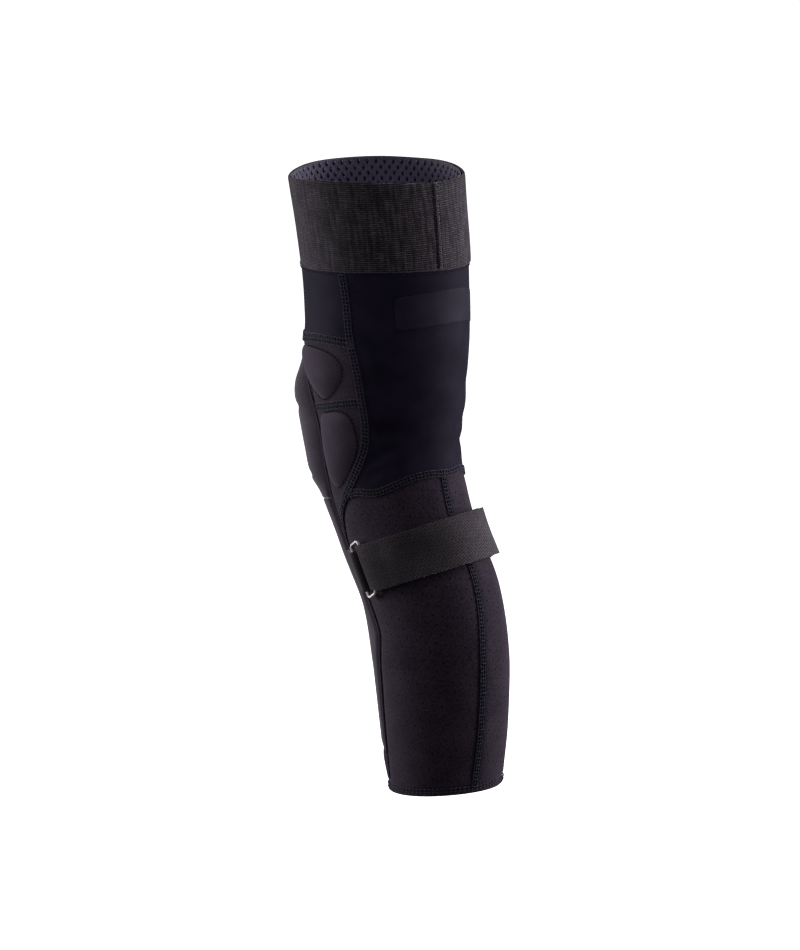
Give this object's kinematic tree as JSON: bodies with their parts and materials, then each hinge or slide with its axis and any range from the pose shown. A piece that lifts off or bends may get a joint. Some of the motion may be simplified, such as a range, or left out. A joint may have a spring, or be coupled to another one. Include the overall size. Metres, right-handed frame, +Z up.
{
  "type": "knee and shin guard",
  "caption": "Pull-on sleeve guard for one leg: padded knee and shin, elastic top cuff, perforated calf and a hook-and-loop strap through a metal ring.",
  "frame": {"origin": "on the axis the knee bends about, in the leg's middle plane", "axes": "+Z up the leg, the wearer faces -Y, +X is the leg's outer side"},
  "size_m": [0.122, 0.1911, 0.4496],
  "materials": {
    "elastic": "woven rubber-and-polyester elastic, charcoal, matte, fine horizontal ribs",
    "silicone": "raised silicone grip marks on a thin knit, dark blue-grey, satin",
    "stretch_knit": "fine nylon and elastane knit, near-black navy, soft sheen",
    "bonded_film": "heat-bonded stretch film, near-black, slightly smoother than the knit",
    "neoprene": "3 mm neoprene with a brushed polyester face, plum-charcoal, matte",
    "perforated_neoprene": "the same neoprene, perforated with small holes on a staggered grid",
    "pad_fabric": "brushed stretch fabric moulded over foam, charcoal, matte",
    "impact_foam": "soft viscoelastic impact foam, dark grey, matte",
    "cover_fabric": "abrasion-resistant woven cover, charcoal, matte",
    "webbing": "38 mm woven elastic webbing, charcoal, fine diagonal ribs",
    "hook_tape": "hook tape, black, dense short hooks",
    "ring_steel": "bent and welded steel wire, satin nickel"
  },
  "bodies": {
    "shin": {"shin_base": "neoprene", "shin_pad": "impact_foam", "shin_cover": "cover_fabric", "calf_panel_outer": "perforated_neoprene", "calf_panel_inner": "perforated_neoprene", "hem_band": "neoprene", "hem_gripper": "silicone", "ring_tab": "webbing", "calf_strap": "webbing"},
    "thigh": {"top_cuff": "elastic", "cuff_gripper": "silicone", "thigh_front_panel": "stretch_knit", "back_panel_upper": "stretch_knit", "back_patch": "bonded_film"},
    "knee": {"knee_base": "neoprene", "knee_pad": "impact_foam", "knee_cover": "cover_fabric", "upper_side_pad_outer": "pad_fabric", "lower_side_pad_outer": "pad_fabric", "upper_side_pad_inner": "pad_fabric", "lower_side_pad_inner": "pad_fabric", "side_panel_outer": "neoprene", "side_panel_inner": "neoprene", "knee_back_panel": "stretch_knit"},
    "ring": {"strap_ring": "ring_steel"},
    "tail": {"strap_tail": "webbing", "hook_patch": "hook_tape"}
  },
  "joints": [
    {"name": "knee_flex", "type": "hinge", "parent": "shin", "child": "thigh", "pos_m": [0, 0, 0], "axis": [-1, 0, 0], "range_deg": [0, 75], "stiffness_Nm_per_rad": 2, "deforming": ["knee_back_panel", "side_panel_outer", "side_panel_inner"]},
    {"name": "knee_half", "type": "hinge", "parent": "shin", "child": "knee", "pos_m": [0, 0, 0], "axis": [-1, 0, 0], "range_deg": [0, 37.5], "deforming": ["knee_back_panel", "side_panel_outer", "side_panel_inner"]},
    {"name": "ring_swing", "type": "hinge", "parent": "shin", "child": "ring", "pos_m": [0.04802, 0.01372, -0.11245], "axis": [0.0228, 0.5485, -0.8358], "range_deg": [0, 70]},
    {"name": "tail_peel", "type": "hinge", "parent": "ring", "child": "tail", "pos_m": [0.04938, 0.02266, -0.10655], "axis": [0.0228, 0.5485, -0.8358], "range_deg": [0, 90]}
  ],
  "couplings": [
    {"joint": "knee_half", "follows": "knee_flex", "ratio": 0.5}
  ]
}
